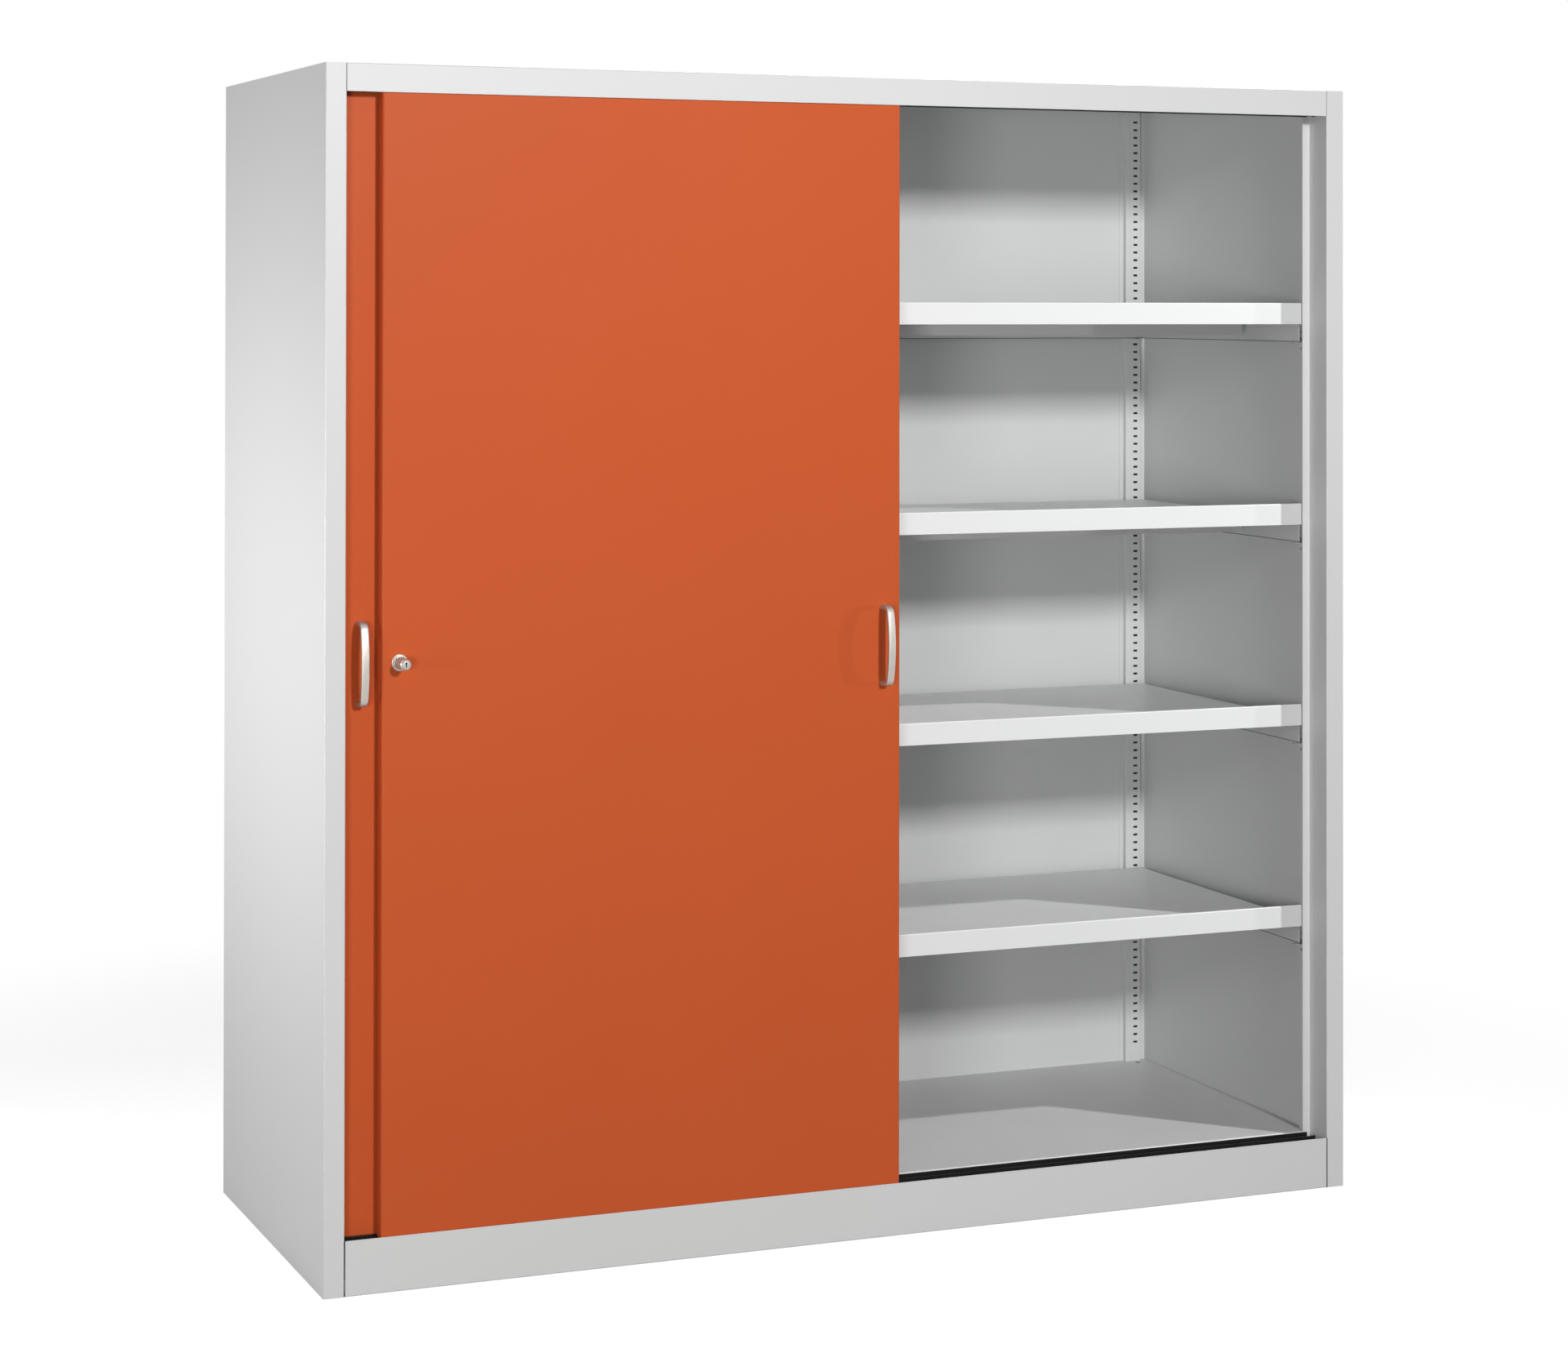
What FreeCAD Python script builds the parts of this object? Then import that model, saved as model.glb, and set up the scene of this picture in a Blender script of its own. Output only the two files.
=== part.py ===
import FreeCAD, Part
import math
import os

# Sports equipment cabinet in folded sheet steel, with two sliding doors on black tracks.
# Right is +X, back is +Y, up is +Z. The origin is the middle of the carcass on the floor.

# Carcass
cabinet_width = 1900.0
cabinet_depth = 600.0
cabinet_height = 1950.0
sheet = 1.0
fold_radius = 2.0
stile_width = 35.0
jamb_lip_width = 14.5
fascia_height = 45.0
rear_drop = 25.0
back_inset = 10.0
back_bottom = 10.0
overrun = 5.0
full_turn = 360
nut_corner_count = 6

# Base
plinth_height = 88.0
plinth_corner = 3.0
plinth_foot = 20.0
trough_depth = 17.0
trough_flange = 16.0
floor_rear_flange = 20.0
rail_height = 60.0
rail_foot = 8.0
centre_rail_width = 50.0
centre_rail_gauge = 1.5
centre_rail_setback = 14.0

# Tracks
track_gap = 0.3
side_fin = 1.0
middle_fin = 2.0
running_gap = 1.35
track_base = 2.0
track_fin_height = 13.0
guide_fin_height = 12.0
carrier_drop = 30.0
carrier_flange = 22.0
track_end_gap = 6.5

# Doors
door_width = 921.0
door_thickness = 20.0
door_edge_radius = 4.0
door_lip = 16.0
door_overlap = 2.0
doors_left_offset = 59.6
buffer_thickness = 1.5
buffer_width = 10.0
buffer_gap = 0.3
stiffener_places_shares = (1 / 3, 2 / 3)
door_stiffener_width = 40.0
door_stiffener_flange = 14.0
door_stiffener_depth = 16.0

# Shelves
lip_height = 38.0
lip_rise = 26.0
lip_thickness = 6.0
lip_return = 5.0
skirt_height = 44.0
shelf_front_gap = 2.0
shelf_back_gap = 3.0
brace_centre_share = 0.28
brace_width = 42.0
brace_flange = 12.0
brace_depth = 32.0
brace_end_gap = 40.0

# Partition, posts and clips
partition_width = 20.0
partition_return = 45.0
post_inset = 15.0
post_depth = 10.0
post_face = 33.0
post_flange = 9.0
front_post_face = 16.0
front_post_flange = 6.0
slot_pitch = 15.0
slot_count = 121
first_slot = 125.0
slot_width = 9.0
slot_height = 4.0
slot_from_edge = 11.3
slots_below_shelves_count = 20
slots_per_shelf = 24
shelves_per_side = 4
clip_width = 8.0
clip_gauge = 1.5
clip_drop = 3.0
clip_reach = 18.0
clip_rise = 5.0
clip_tab = 3.5
clip_tab_height = 3.0

# Levelling feet
foot_x_inset = 28.0
foot_rear_inset = 22.0
foot_front_inset = 34.0
foot_stud_radius = 5.0
foot_pad_radius = 12.0
foot_pad_height = 4.0
foot_lift = 0.5
foot_stud_length = 60.0
foot_hole_gap = 0.25
access_hole_radius = 5.5
bracket_width = 44.0
bracket_length = 36.0
bracket_drop = 45.0
bracket_flange = 5.5
bracket_gauge = 2.0

# Handles
handle_spacing = 128.0
handle_projection = 31.0
handle_bulge = 5.5
handle_width = 13.0
handle_depth = 8.0
handle_corner = 12.0
handle_bevel = 2.0
handle_boss_radius = 4.8
handle_boss_length = 7.0
handle_edge_inner = 30.0
handle_edge_outer = 32.0
handle_height = 995.0
screw_radius = 2.0
screw_gap = 0.25
screw_depth = 9.0
screw_head_radius = 4.0
screw_head_height = 2.5

# Lock
lock_inset = 29.4
lock_height = 997.0
lock_travel = 8.0
lock_flange_radius = 13.5
lock_flange_height = 2.5
lock_step_radius = 11.8
lock_step_height = 4.0
lock_body_radius = 11.0
lock_body_length = 16.0
lock_nut_across = 27.0
lock_nut_height = 4.0
lock_fit = 0.08
barrel_radius = 9.5
barrel_projection = 34.0
barrel_inside = 4.0
barrel_chamfer = 2.2
barrel_floor = 6.0
core_radius = 6.5
core_head = 0.6
key_slot_width = 1.8
key_slot_height = 8.5
key_bow_radius = 1.7
key_slot_depth = 9.0
pin_radius = 3.0
pin_clearance = 0.8
pin_bevel = 1.0
catch_height = 36.0
catch_width = 14.0
catch_edge_gap = 2.0
catch_bevel = 1.0

# Rollers and guide shoes
roller_radius = 16.0
roller_width = 7.6
roller_hub_radius = 6.0
roller_dish = 1.4
roller_gap = 0.3
roller_place = 80.0
axle_radius = 2.0
axle_fit = 0.06
axle_head_radius = 3.4
axle_head = 1.2
cheek_gap = 0.5
cheek_gauge = 1.5
cheek_length = 38.0
cheek_height = 36.0
cheek_chamfer = 9.0
roller_slot_gap = 1.5
shoe_length = 60.0
shoe_height = 7.0
shoe_side_gap = 0.5
shoe_nose = 8.0

# Planes and places worked out from the sizes above
front = -cabinet_depth / 2
back = cabinet_depth / 2
half_width = cabinet_width / 2
ceiling = cabinet_height - sheet
opening_half = half_width - stile_width
pocket_depth = sheet + 2 * (track_gap + side_fin + door_thickness + 2 * running_gap) + middle_fin
pocket_back = front + pocket_depth
interior_front = pocket_back + 2 * sheet
lip_edge = opening_half - jamb_lip_width
liner_face = opening_half + sheet
panel_face = back - back_inset
trough_top = plinth_height - trough_depth
roller_floor = trough_top + track_base
track_top = roller_floor + track_fin_height
carrier_face = cabinet_height - carrier_drop
guide_ceiling = carrier_face - track_base
guide_bottom = guide_ceiling - guide_fin_height
track_half = opening_half - track_end_gap
door_bottom = track_top - door_overlap
door_top = guide_bottom + door_overlap
door_height = door_top - door_bottom
track_front = front + sheet + track_gap
outer_front = track_front + side_fin + running_gap
outer_back = outer_front + door_thickness
door_gap = 2 * running_gap + middle_fin
inner_front = outer_back + door_gap
inner_back = inner_front + door_thickness
inner_left = -opening_half + buffer_thickness + buffer_gap
outer_left = inner_left + doors_left_offset
inner_right = inner_left + door_width
outer_travel = opening_half - buffer_thickness - buffer_gap - (outer_left + door_width)
partition_half = partition_width / 2
bay_middle = (partition_half + liner_face) / 2
shelf_right = liner_face - post_inset
shelf_left = 2 * bay_middle - shelf_right
shelf_front = interior_front + shelf_front_gap
post_front = panel_face - post_depth
shelf_back = post_front - shelf_back_gap
front_post_line = liner_face - post_depth
slot_centre = shelf_right - slot_from_edge
front_slot_centre = interior_front + front_post_face / 2
shelf_slots = [slots_below_shelves_count + slots_per_shelf * n for n in range(shelves_per_side)]
pin_reach = door_gap - pin_clearance
foot_x = liner_face - foot_x_inset
foot_rear = panel_face - foot_rear_inset
foot_front = interior_front + foot_front_inset
foot_plate = plinth_height - sheet - bracket_drop


# Planes that an outline is drawn on: plan, side and front
def on_plan(z):
    return lambda a, b: FreeCAD.Vector(a, b, z)


def on_side(x):
    return lambda a, b: FreeCAD.Vector(x, a, b)


def on_front(y):
    return lambda a, b: FreeCAD.Vector(a, y, b)


def along_x(length):
    return FreeCAD.Vector(length, 0, 0)


def along_y(length):
    return FreeCAD.Vector(0, length, 0)


def along_z(length):
    return FreeCAD.Vector(0, 0, length)


# A closed wire through flat points, each corner rounded by its own radius
def rounded_wire(points, radii, place):
    starts = []
    ends = []
    middles = []
    for index, corner in enumerate(points):
        before = points[index - 1]
        after = points[(index + 1) % len(points)]
        radius = radii[index]
        to_before = unit(corner, before)
        to_after = unit(corner, after)
        if radius <= 0:
            starts.append(corner)
            ends.append(corner)
            middles.append(None)
            continue
        cosine = to_before[0] * to_after[0] + to_before[1] * to_after[1]
        half_angle = math.acos(max(-1, min(1, cosine))) / 2
        run = radius / math.tan(half_angle)
        depth = radius / math.sin(half_angle) - radius
        inwards = unit((0, 0), (to_before[0] + to_after[0], to_before[1] + to_after[1]))
        starts.append((corner[0] + to_before[0] * run, corner[1] + to_before[1] * run))
        ends.append((corner[0] + to_after[0] * run, corner[1] + to_after[1] * run))
        middles.append((corner[0] + inwards[0] * depth, corner[1] + inwards[1] * depth))
    edges = []
    for index in range(len(points)):
        if middles[index]:
            bend = [place(*starts[index]), place(*middles[index]), place(*ends[index])]
            edges.append(Part.Arc(*bend).toShape())
        next_start = starts[(index + 1) % len(points)]
        edges.append(Part.LineSegment(place(*ends[index]), place(*next_start)).toShape())
    return Part.Wire(edges)


def unit(start, end):
    length = math.dist(start, end)
    return ((end[0] - start[0]) / length, (end[1] - start[1]) / length)


def prism(points, radii, place, sweep):
    return Part.Face(rounded_wire(points, radii, place)).extrude(sweep)


# The second face of a bent sheet, a gauge to the left of the first where side is 1
def offset_line(line, gauge, side):
    shifted = []
    for index, point in enumerate(line):
        normals = []
        if index > 0:
            ahead = unit(line[index - 1], point)
            normals.append((-ahead[1] * side, ahead[0] * side))
        if index < len(line) - 1:
            ahead = unit(point, line[index + 1])
            normals.append((-ahead[1] * side, ahead[0] * side))
        total = (sum(n[0] for n in normals), sum(n[1] for n in normals))
        scale = len(normals) * gauge / (total[0] ** 2 + total[1] ** 2)
        shifted.append((point[0] + total[0] * scale, point[1] + total[1] * scale))
    return shifted


# A bent sheet, drawn as the line of one face and swept straight along its folds.
# Each bend can have an outer radius of its own, and hidden bends are left sharp.
def folded(line, side, place, sweep, bends=None, gauge=sheet):
    near = [0]
    far = [0]
    for index in range(1, len(line) - 1):
        radius = bends[index - 1] if bends else 0
        first = unit(line[index - 1], line[index])
        second = unit(line[index], line[index + 1])
        turn = first[0] * second[1] - first[1] * second[0]
        outside = turn * side > 0
        inner_radius = max(0, radius - gauge)
        near.append(radius if outside else inner_radius)
        far.append(inner_radius if outside else radius)
    near.append(0)
    far.append(0)
    points = line + offset_line(line, gauge, side)[::-1]
    return prism(points, near + far[::-1], place, sweep)


def box(x0, x1, y0, y1, z0, z1):
    return Part.makeBox(x1 - x0, y1 - y0, z1 - z0, FreeCAD.Vector(x0, y0, z0))


def mirrored(shape, x=0):
    return shape.mirror(FreeCAD.Vector(x, 0, 0), FreeCAD.Vector(1, 0, 0))


def moved(shape, x=0, y=0, z=0):
    copy = shape.copy()
    copy.translate(FreeCAD.Vector(x, y, z))
    return copy


# A turned piece on an axis along +Y through x, z, from points of radius and depth
def turned(profile, x, z):
    points = [FreeCAD.Vector(x + radius, depth, z) for radius, depth in profile]
    edges = Part.makePolygon(points + [points[0]])
    axis = FreeCAD.Vector(x, 0, z)
    return Part.Face(edges).revolve(axis, FreeCAD.Vector(0, 1, 0), full_turn)


# A hexagon nut with its bore along +Y
def hexagon(centre, across, height, bore):
    corner_radius = across / (2 * math.cos(math.pi / nut_corner_count))
    points = []
    for step in range(nut_corner_count):
        turn = step * 2 * math.pi / nut_corner_count
        side = FreeCAD.Vector(corner_radius * math.cos(turn), 0, corner_radius * math.sin(turn))
        points.append(centre + side)
    outline = Part.Face(Part.makePolygon(points + [points[0]]))
    hole = Part.makeCylinder(bore, height, centre, FreeCAD.Vector(0, 1, 0))
    return outline.extrude(along_y(height)).cut(hole)


def together(pieces):
    return Part.makeCompound(pieces)


# Side skin of the right side: rear flange, outer wall, stile, door pocket and jamb lip
def side_panel():
    line = [
        (opening_half, back),
        (half_width, back),
        (half_width, front),
        (opening_half, front),
        (opening_half, pocket_back),
        (lip_edge, pocket_back),
    ]
    bends = [0, fold_radius, fold_radius, 0]
    skin = folded(line, -1, on_plan(0), along_z(cabinet_height), bends)
    room = box(lip_edge - overrun, half_width - sheet, front + sheet, back + overrun,
               ceiling, cabinet_height + overrun)
    return skin.cut(room)


# Inner wall of the right side, folded behind the jamb lip and onto the rear flange
def side_liner():
    line = [
        (lip_edge, interior_front),
        (liner_face, interior_front),
        (liner_face, back - sheet),
        (half_width - sheet, back - sheet),
    ]
    return folded(line, -1, on_plan(back_bottom), along_z(ceiling - back_bottom))


# Top sheet with the fascia in front, a drop at the rear and ears over the two sides
def top_panel():
    line = [
        (back, cabinet_height - rear_drop),
        (back, cabinet_height),
        (front, cabinet_height),
        (front, cabinet_height - fascia_height),
    ]
    bends = [0, fold_radius]
    strip = folded(line, 1, on_side(-opening_half), along_x(2 * opening_half), bends)
    ear = box(opening_half, half_width - sheet, front + sheet, back, ceiling, cabinet_height)
    return strip.fuse([ear, mirrored(ear)]).removeSplitter()


# Channel behind the fascia that carries the top guide
def guide_carrier():
    line = [
        (front + sheet, carrier_face + carrier_flange),
        (front + sheet, carrier_face),
        (pocket_back, carrier_face),
        (pocket_back, ceiling),
    ]
    return folded(line, 1, on_side(-opening_half), along_x(2 * opening_half))


# Floor of the cabinet with the trough for the track folded into its front
def bottom_panel():
    line = [
        (front + sheet, trough_top - trough_flange),
        (front + sheet, trough_top),
        (pocket_back, trough_top),
        (pocket_back, plinth_height),
        (panel_face, plinth_height),
        (panel_face, plinth_height - floor_rear_flange),
    ]
    bends = [0, 0, fold_radius, 0]
    floor = folded(line, -1, on_side(-opening_half), along_x(2 * opening_half), bends)
    notch = box(lip_edge - track_gap, opening_half + overrun, pocket_back,
                interior_front + track_gap, trough_top - sheet - overrun, plinth_height + overrun)
    hole = Part.makeCylinder(access_hole_radius, 2 * overrun,
                             FreeCAD.Vector(foot_x, foot_rear, plinth_height - overrun))
    return floor.cut([notch, mirrored(notch), hole, mirrored(hole)])


# Kick plate under the doors, with its two upper corners rounded off
def plinth_front():
    line = [(front + plinth_foot, 0), (front, 0), (front, plinth_height)]
    strip = folded(line, -1, on_side(-opening_half), along_x(2 * opening_half), [fold_radius])
    upper = [edge for edge in strip.Edges
             if edge.CenterOfMass.z > plinth_height - plinth_corner
             and abs(edge.CenterOfMass.x) > opening_half - plinth_corner
             and edge.BoundBox.YLength > edge.BoundBox.ZLength]
    return strip.makeFillet(plinth_corner, upper)


def base_rear_rail():
    line = [(panel_face - rail_foot, 0), (panel_face, 0), (panel_face, rail_height)]
    return folded(line, 1, on_side(-opening_half), along_x(2 * opening_half))


# Channel under the partition, the middle rest of the cabinet on the floor
def base_centre_rail():
    half = centre_rail_width / 2
    underside = plinth_height - sheet
    line = [(-half, underside), (-half, 0), (half, 0), (half, underside)]
    start = pocket_back + centre_rail_setback
    end = panel_face - centre_rail_setback
    return folded(line, 1, on_front(start), along_y(end - start), None, centre_rail_gauge)


# Right half of the back, a tray with its flanges to the rear
def back_panel():
    line = [(0, back - sheet), (0, panel_face), (liner_face, panel_face), (liner_face, back - sheet)]
    return folded(line, 1, on_plan(back_bottom), along_z(ceiling - back_bottom))


def centre_partition():
    line = [
        (-partition_half, interior_front + partition_return),
        (-partition_half, interior_front),
        (partition_half, interior_front),
        (partition_half, panel_face),
        (-partition_half, panel_face),
        (-partition_half, panel_face - partition_return),
    ]
    return folded(line, 1, on_plan(plinth_height), along_z(ceiling - plinth_height))


def slot_height_at(index):
    return first_slot + slot_pitch * index


def slots_near_shelves():
    return [slot + step for slot in shelf_slots for step in (-1, 0, 1)]


# Hat post in the rear right corner, with its row of slots facing the front
def rear_post(slots):
    face_left = shelf_right - post_face
    line = [
        (face_left - post_flange, panel_face - sheet),
        (face_left, panel_face - sheet),
        (face_left, post_front),
        (shelf_right, post_front),
        (shelf_right, panel_face - sheet),
        (shelf_right + post_flange, panel_face - sheet),
    ]
    bends = [0, sheet, sheet, 0]
    post = folded(line, 1, on_plan(plinth_height), along_z(ceiling - plinth_height), bends)
    half = slot_width / 2
    cuts = []
    for index in slots:
        low = slot_height_at(index) - slot_height / 2
        cuts.append(box(slot_centre - half, slot_centre + half, post_front - sheet,
                        post_front + 2 * sheet, low, low + slot_height))
    return post.cut(cuts)


# Narrow post behind the right jamb, with its slots facing the shelf
def front_post():
    face_back = interior_front + front_post_face
    line = [
        (liner_face, interior_front),
        (front_post_line, interior_front),
        (front_post_line, face_back),
        (liner_face - sheet, face_back),
        (liner_face - sheet, face_back + front_post_flange),
    ]
    post = folded(line, -1, on_plan(plinth_height), along_z(ceiling - plinth_height))
    half = slot_width / 2
    cuts = []
    for index in slots_near_shelves():
        low = slot_height_at(index) - slot_height / 2
        cuts.append(box(front_post_line - sheet, front_post_line + 2 * sheet,
                        front_slot_centre - half, front_slot_centre + half, low, low + slot_height))
    return post.cut(cuts)


# Side outline of a clip about its slot: ledge, upright and the tab in the slot
def clip_outline(face, height):
    half_tab = clip_tab_height / 2
    return [
        (face - clip_reach, height - clip_drop - clip_gauge),
        (face, height - clip_drop - clip_gauge),
        (face, height - half_tab),
        (face + clip_tab, height - half_tab),
        (face + clip_tab, height + half_tab),
        (face, height + half_tab),
        (face, height + clip_rise),
        (face - clip_gauge, height + clip_rise),
        (face - clip_gauge, height - clip_drop),
        (face - clip_reach, height - clip_drop),
    ]


# The four clips of every shelf in the right compartment
def shelf_clips():
    clips = []
    for index in shelf_slots:
        height = slot_height_at(index)
        rear = clip_outline(post_front, height)
        side = clip_outline(front_post_line, height)
        sharp = [0] * len(rear)
        rear_clip = prism(rear, sharp, on_side(slot_centre - clip_width / 2), along_x(clip_width))
        side_clip = prism(side, sharp, on_front(front_slot_centre - clip_width / 2),
                          along_y(clip_width))
        for clip in (rear_clip, side_clip):
            clips.append(clip)
            clips.append(mirrored(clip, bay_middle))
    return together(clips)


def shelf_top(index):
    return slot_height_at(index) - clip_drop + skirt_height


# Shelf tray with a doubled, raised front lip and skirts at the sides and rear
def shelf(index):
    top = shelf_top(index)
    lip_back = shelf_front + lip_thickness
    lip_bottom = top + lip_rise - lip_height
    line = [
        (shelf_back, top - skirt_height),
        (shelf_back, top),
        (lip_back, top),
        (lip_back, top + lip_rise),
        (shelf_front, top + lip_rise),
        (shelf_front, lip_bottom),
        (shelf_front + lip_return, lip_bottom),
    ]
    bends = [0, 0, fold_radius, fold_radius, 0]
    tray = folded(line, 1, on_side(shelf_left), along_x(shelf_right - shelf_left), bends)
    end = [
        (shelf_back, top - skirt_height),
        (shelf_back, top),
        (lip_back, top),
        (lip_back, top + lip_rise),
        (shelf_front, top + lip_rise),
        (shelf_front, lip_bottom),
        (lip_back, lip_bottom),
        (lip_back, top - skirt_height),
    ]
    corners = [0, 0, 0, fold_radius, fold_radius, 0, 0, 0]
    ends = []
    for start in (shelf_left, shelf_right - sheet):
        ends.append(prism(end, corners, on_side(start), along_x(sheet)))
    return tray.fuse(ends).removeSplitter()


# Channel under a shelf of the right compartment
def shelf_brace(index):
    under = shelf_top(index) - sheet
    centre = shelf_front + brace_centre_share * (shelf_back - shelf_front)
    half = brace_width / 2
    line = [
        (centre - half - brace_flange, under - sheet),
        (centre - half, under - sheet),
        (centre - half, under - brace_depth),
        (centre + half, under - brace_depth),
        (centre + half, under - sheet),
        (centre + half + brace_flange, under - sheet),
    ]
    start = shelf_left + brace_end_gap
    length = shelf_right - shelf_left - 2 * brace_end_gap
    return folded(line, 1, on_side(start), along_x(length))


# Black section with three fins, drawn up from the trough or down from the carrier
def door_track(base, direction, fin_height):
    middle_front = outer_back + running_gap
    rear_fin_front = inner_back + running_gap
    fins = [
        (track_front, track_front + side_fin),
        (middle_front, middle_front + middle_fin),
        (rear_fin_front, rear_fin_front + side_fin),
    ]
    floor = base + direction * track_base
    tip = floor + direction * fin_height
    points = [(fins[0][0], base)]
    for near, far in fins:
        points.append((near, floor))
        points.append((near, tip))
        points.append((far, tip))
        points.append((far, floor))
    points.append((fins[-1][1], base))
    del points[1]
    del points[-2]
    return prism(points, [0] * len(points), on_side(-track_half), along_x(2 * track_half))


# Rubber pads that stop the doors, behind the fascia at both jambs
def jamb_buffers():
    pads = []
    side = buffer_width / 2
    for middle in (outer_front + door_thickness / 2, inner_front + door_thickness / 2):
        pad = box(opening_half - buffer_thickness, opening_half, middle - side, middle + side,
                  guide_bottom, carrier_face)
        pads.append(pad)
        pads.append(mirrored(pad))
    return together(pads)


# The four corners that carry a levelling foot
def foot_places():
    return [(side * foot_x, depth) for side in (-1, 1) for depth in (foot_front, foot_rear)]


def foot_brackets():
    brackets = []
    underside = plinth_height - sheet
    half = bracket_width / 2
    for x, y in foot_places():
        line = [
            (x - half - bracket_flange, underside - bracket_gauge),
            (x - half, underside - bracket_gauge),
            (x - half, foot_plate),
            (x + half, foot_plate),
            (x + half, underside - bracket_gauge),
            (x + half + bracket_flange, underside - bracket_gauge),
        ]
        start = y - bracket_length / 2
        bracket = folded(line, 1, on_front(start), along_y(bracket_length), None, bracket_gauge)
        hole = Part.makeCylinder(foot_stud_radius + foot_hole_gap, bracket_gauge + 2 * overrun,
                                 FreeCAD.Vector(x, y, foot_plate - overrun))
        brackets.append(bracket.cut(hole))
    return together(brackets)


# Levelling feet: a stud through the bracket with a pad below
def levelling_feet():
    feet = []
    pad_top = foot_lift + foot_pad_height
    profile = [
        (0, foot_lift),
        (foot_pad_radius, foot_lift),
        (foot_pad_radius, pad_top),
        (foot_stud_radius, pad_top),
        (foot_stud_radius, foot_lift + foot_stud_length),
        (0, foot_lift + foot_stud_length),
    ]
    for x, y in foot_places():
        points = [FreeCAD.Vector(x + radius, y, height) for radius, height in profile]
        face = Part.Face(Part.makePolygon(points + [points[0]]))
        feet.append(face.revolve(FreeCAD.Vector(x, y, 0), FreeCAD.Vector(0, 0, 1), full_turn))
    return together(feet)


# Edges of a box that lie wholly on its front face
def front_edges(shape):
    front_face = min(shape.Faces, key=lambda face: face.CenterOfMass.y)
    return front_face.Edges


# Door tray: rounded front edges, returns all round and a lip behind them
def door_panel(left, face):
    right = left + door_width
    rear = face + door_thickness
    outer = box(left, right, face, rear, door_bottom, door_top)
    outer = outer.makeFillet(door_edge_radius, front_edges(outer))
    hollow = box(left + sheet, right - sheet, face + sheet, rear - sheet,
                 door_bottom + sheet, door_top - sheet)
    hollow = hollow.makeFillet(door_edge_radius - sheet, front_edges(hollow))
    window = box(left + door_lip, right - door_lip, rear - 2 * sheet, rear + overrun,
                 door_bottom + door_lip, door_top - door_lip)
    cuts = [hollow, window]
    slot_half = roller_radius + roller_slot_gap
    slot_side = roller_width / 2 + cheek_gap
    middle = face + door_thickness / 2
    for x in roller_places(left):
        cuts.append(box(x - slot_half, x + slot_half, middle - slot_side, middle + slot_side,
                        door_bottom - overrun, door_bottom + 2 * sheet))
    for x, z in screw_places(left):
        cuts.append(Part.makeCylinder(screw_radius + screw_gap, 2 * overrun,
                                      FreeCAD.Vector(x, face - overrun, z), FreeCAD.Vector(0, 1, 0)))
    return outer.cut(cuts)


def roller_places(left):
    return [left + roller_place, left + door_width - roller_place]


def handle_place(left):
    if left == inner_left:
        return left + handle_edge_inner
    return left + door_width - handle_edge_outer


def screw_places(left):
    x = handle_place(left)
    return [(x, handle_height + side * handle_spacing / 2) for side in (-1, 1)]


# Lock hole through the outer door's skin
def outer_door_panel():
    centre = FreeCAD.Vector(outer_left + lock_inset, outer_front - overrun, lock_height)
    hole = Part.makeCylinder(lock_body_radius + lock_fit, 2 * overrun, centre, FreeCAD.Vector(0, 1, 0))
    return door_panel(outer_left, outer_front).cut(hole)


# Two upright hats on the inside of a door skin
def door_stiffeners(left, face):
    hats = []
    skin = face + sheet
    half = door_stiffener_width / 2
    for share in stiffener_places_shares:
        middle = left + share * door_width
        line = [
            (middle - half - door_stiffener_flange, skin + sheet),
            (middle - half, skin + sheet),
            (middle - half, skin + door_stiffener_depth),
            (middle + half, skin + door_stiffener_depth),
            (middle + half, skin + sheet),
            (middle + half + door_stiffener_flange, skin + sheet),
        ]
        length = door_height - 2 * door_edge_radius
        hats.append(folded(line, -1, on_plan(door_bottom + door_edge_radius), along_z(length)))
    return together(hats)


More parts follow.
